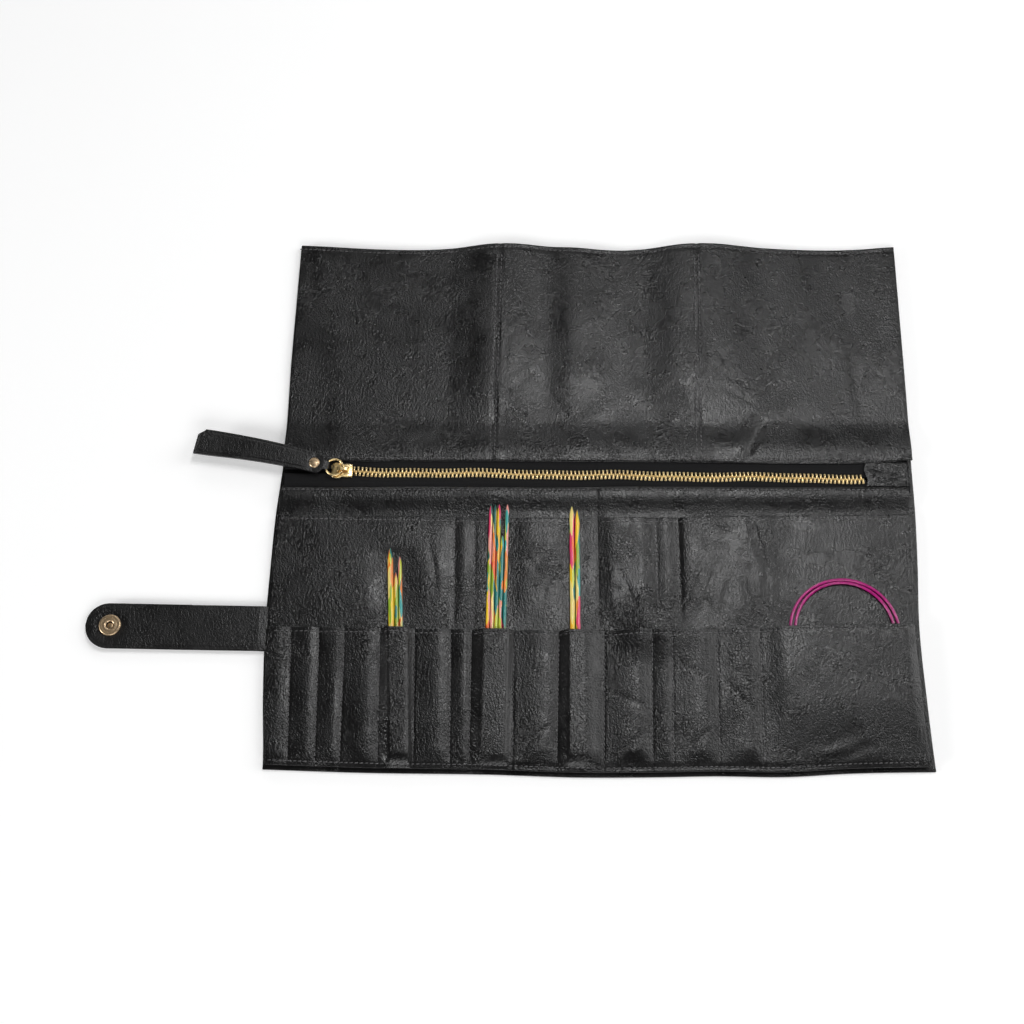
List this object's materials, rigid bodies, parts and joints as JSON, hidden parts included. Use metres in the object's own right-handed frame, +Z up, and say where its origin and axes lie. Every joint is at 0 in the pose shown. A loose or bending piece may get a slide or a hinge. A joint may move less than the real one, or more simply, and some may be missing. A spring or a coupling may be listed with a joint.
{
  "type": "needle case",
  "caption": "Leather knitting needle case laid open, with pocket tiers, a zip, a folding flap and a snap strap, holding wooden needles and a coiled cable.",
  "frame": {"origin": "on the underside of the middle panel, the face that the case rests on, 100 mm from the pockets' hem", "axes": "+X along the zip from the slider's end, +Y from the pockets' hem towards the flap, +Z up out of the open case"},
  "size_m": [0.4648, 0.32, 0.0122],
  "materials": {
    "black_leather": "soft grained black leather, semi-matt",
    "strap_leather": "smooth black leather, semi-matt",
    "zip_tape": "black woven tape",
    "gold_brass": "polished gold-toned brass",
    "antique_brass": "antique brass, brushed",
    "coloured_birch": "dyed laminated birch, polished",
    "steel": "nickel-plated steel",
    "magenta_cable": "translucent magenta plastic cable"
  },
  "bodies": {
    "panel_left": {"outer_left": "black_leather", "back_panel_left": "black_leather", "upper_pocket_left": "black_leather", "lower_pocket_left": "black_leather", "zip_tape_lower_left": "zip_tape", "zip_tape_upper_left": "zip_tape", "zip_chain_left": "gold_brass", "flap_strip_left": "black_leather", "strap_root": "strap_leather"},
    "flap_left": {"flap_outer_left": "black_leather", "flap_inner_left": "black_leather"},
    "panel_mid": {"outer_mid": "black_leather", "back_panel_mid": "black_leather", "upper_pocket_mid": "black_leather", "lower_pocket_mid": "black_leather", "zip_tape_lower_mid": "zip_tape", "zip_tape_upper_mid": "zip_tape", "zip_chain_mid": "gold_brass", "flap_strip_mid": "black_leather", "snap_stud": "antique_brass", "snap_post": "steel"},
    "flap_mid": {"flap_outer_mid": "black_leather", "flap_inner_mid": "black_leather"},
    "panel_right": {"outer_right": "black_leather", "back_panel_right": "black_leather", "upper_pocket_right": "black_leather", "lower_pocket_right": "black_leather", "zip_tape_lower_right": "zip_tape", "zip_tape_upper_right": "zip_tape", "zip_chain_right": "gold_brass", "flap_strip_right": "black_leather", "zip_end_patch": "black_leather"},
    "flap_right": {"flap_outer_right": "black_leather", "flap_inner_right": "black_leather"},
    "slider": {"zip_slider": "gold_brass", "zip_slider_back": "gold_brass"},
    "ring": {"pull_ring": "gold_brass"},
    "tab": {"pull_tab": "strap_leather", "rivet_cap": "antique_brass", "rivet_back": "antique_brass"},
    "strap_middle": {"strap_side": "strap_leather"},
    "strap_tip": {"strap_end": "strap_leather", "snap_cap": "antique_brass", "snap_socket": "antique_brass"},
    "tip_thick": {"tip_thick": "coloured_birch", "tip_thick_ferrule": "steel"},
    "tip_short": {"tip_short": "coloured_birch", "tip_short_ferrule": "steel"},
    "tip_thin": {"tip_thin": "coloured_birch", "tip_thin_ferrule": "steel"},
    "thin_needle_1": {"thin_needle_1": "coloured_birch"},
    "thin_needle_2": {"thin_needle_2": "coloured_birch"},
    "thin_needle_3": {"thin_needle_3": "coloured_birch"},
    "thin_needle_4": {"thin_needle_4": "coloured_birch"},
    "thin_needle_5": {"thin_needle_5": "coloured_birch"},
    "thick_needle_1": {"thick_needle_1": "coloured_birch"},
    "thick_needle_2": {"thick_needle_2": "coloured_birch"},
    "cable": {"cable_coil": "magenta_cable", "cable_connector_inner": "steel", "cable_connector_outer": "steel"}
  },
  "joints": [
    {"name": "flap_fold", "type": "hinge", "parent": "panel_mid", "child": "flap_mid", "pos_m": [-0.0145, 0.1, 0.00552], "axis": [-1, 0, 0], "range_deg": [-179.95, 0]},
    {"name": "flap_left_fold", "type": "hinge", "parent": "panel_left", "child": "flap_left", "pos_m": [-0.1285, 0.1, 0.00605], "axis": [-1, 0, 0], "range_deg": [-179.95, 0]},
    {"name": "flap_right_fold", "type": "hinge", "parent": "panel_right", "child": "flap_right", "pos_m": [0.114, 0.1, 0.00552], "axis": [-1, 0, 0], "range_deg": [-179.95, 0]},
    {"name": "right_fold", "type": "hinge", "parent": "panel_mid", "child": "panel_right", "pos_m": [0.048, 0, 0.0112], "axis": [0, 1, 0], "range_deg": [-179.95, 0]},
    {"name": "left_fold", "type": "hinge", "parent": "panel_mid", "child": "panel_left", "pos_m": [-0.077, 0, 0.0174], "axis": [0, -1, 0], "range_deg": [-179.95, 0]},
    {"name": "strap_wrap", "type": "hinge", "parent": "panel_left", "child": "strap_middle", "pos_m": [-0.2125, -0.019, 0.005], "axis": [0, -1, 0], "range_deg": [-90, 0]},
    {"name": "strap_tuck", "type": "hinge", "parent": "strap_middle", "child": "strap_tip", "pos_m": [-0.2411, -0.019, 0.005], "axis": [0, -1, 0], "range_deg": [-90, 0]},
    {"name": "zip_travel", "type": "slide", "parent": "panel_left", "child": "slider", "axis": [0.9999, -0.0155, 0], "range_m": [0, 0.2923]},
    {"name": "ring_swing", "type": "hinge", "parent": "slider", "child": "ring", "pos_m": [-0.1455, 0.07307, 0.0072], "axis": [0.1994, 0.9799, 0], "range_deg": [0, 145]},
    {"name": "tab_swing", "type": "hinge", "parent": "ring", "child": "tab", "pos_m": [-0.1551, 0.07502, 0.0072], "axis": [0.1994, 0.9799, 0], "range_deg": [0, 20]},
    {"name": "tip_thick_slide", "type": "slide", "parent": "panel_left", "child": "tip_thick", "axis": [-0.0419, 0.9991, 0.0105], "range_m": [0, 0.075]},
    {"name": "tip_short_slide", "type": "slide", "parent": "panel_left", "child": "tip_short", "axis": [-0.0419, 0.9991, 0.0105], "range_m": [0, 0.075]},
    {"name": "tip_thin_slide", "type": "slide", "parent": "panel_left", "child": "tip_thin", "axis": [-0.0419, 0.9991, 0.0105], "range_m": [0, 0.075]},
    {"name": "thin_needle_1_slide", "type": "slide", "parent": "panel_mid", "child": "thin_needle_1", "axis": [0.0244, 0.9996, 0.0105], "range_m": [0, 0.075]},
    {"name": "thin_needle_2_slide", "type": "slide", "parent": "panel_mid", "child": "thin_needle_2", "axis": [0.0244, 0.9996, 0.0105], "range_m": [0, 0.075]},
    {"name": "thin_needle_3_slide", "type": "slide", "parent": "panel_mid", "child": "thin_needle_3", "axis": [0.0244, 0.9996, 0.0105], "range_m": [0, 0.075]},
    {"name": "thin_needle_4_slide", "type": "slide", "parent": "panel_mid", "child": "thin_needle_4", "axis": [0.0244, 0.9996, 0.0105], "range_m": [0, 0.075]},
    {"name": "thin_needle_5_slide", "type": "slide", "parent": "panel_mid", "child": "thin_needle_5", "axis": [0.0244, 0.9996, 0.0105], "range_m": [0, 0.075]},
    {"name": "thick_needle_1_slide", "type": "slide", "parent": "panel_mid", "child": "thick_needle_1", "axis": [0.0052, 0.9999, 0.0105], "range_m": [0, 0.075]},
    {"name": "thick_needle_2_slide", "type": "slide", "parent": "panel_mid", "child": "thick_needle_2", "axis": [0.0052, 0.9999, 0.0105], "range_m": [0, 0.075]},
    {"name": "cable_slide", "type": "slide", "parent": "panel_right", "child": "cable", "axis": [0, 1, 0], "range_m": [0, 0.042]}
  ],
  "couplings": [
    {"joint": "flap_left_fold", "follows": "flap_fold", "ratio": 1},
    {"joint": "flap_right_fold", "follows": "flap_fold", "ratio": 1},
    {"joint": "strap_tuck", "follows": "strap_wrap", "ratio": 1}
  ]
}
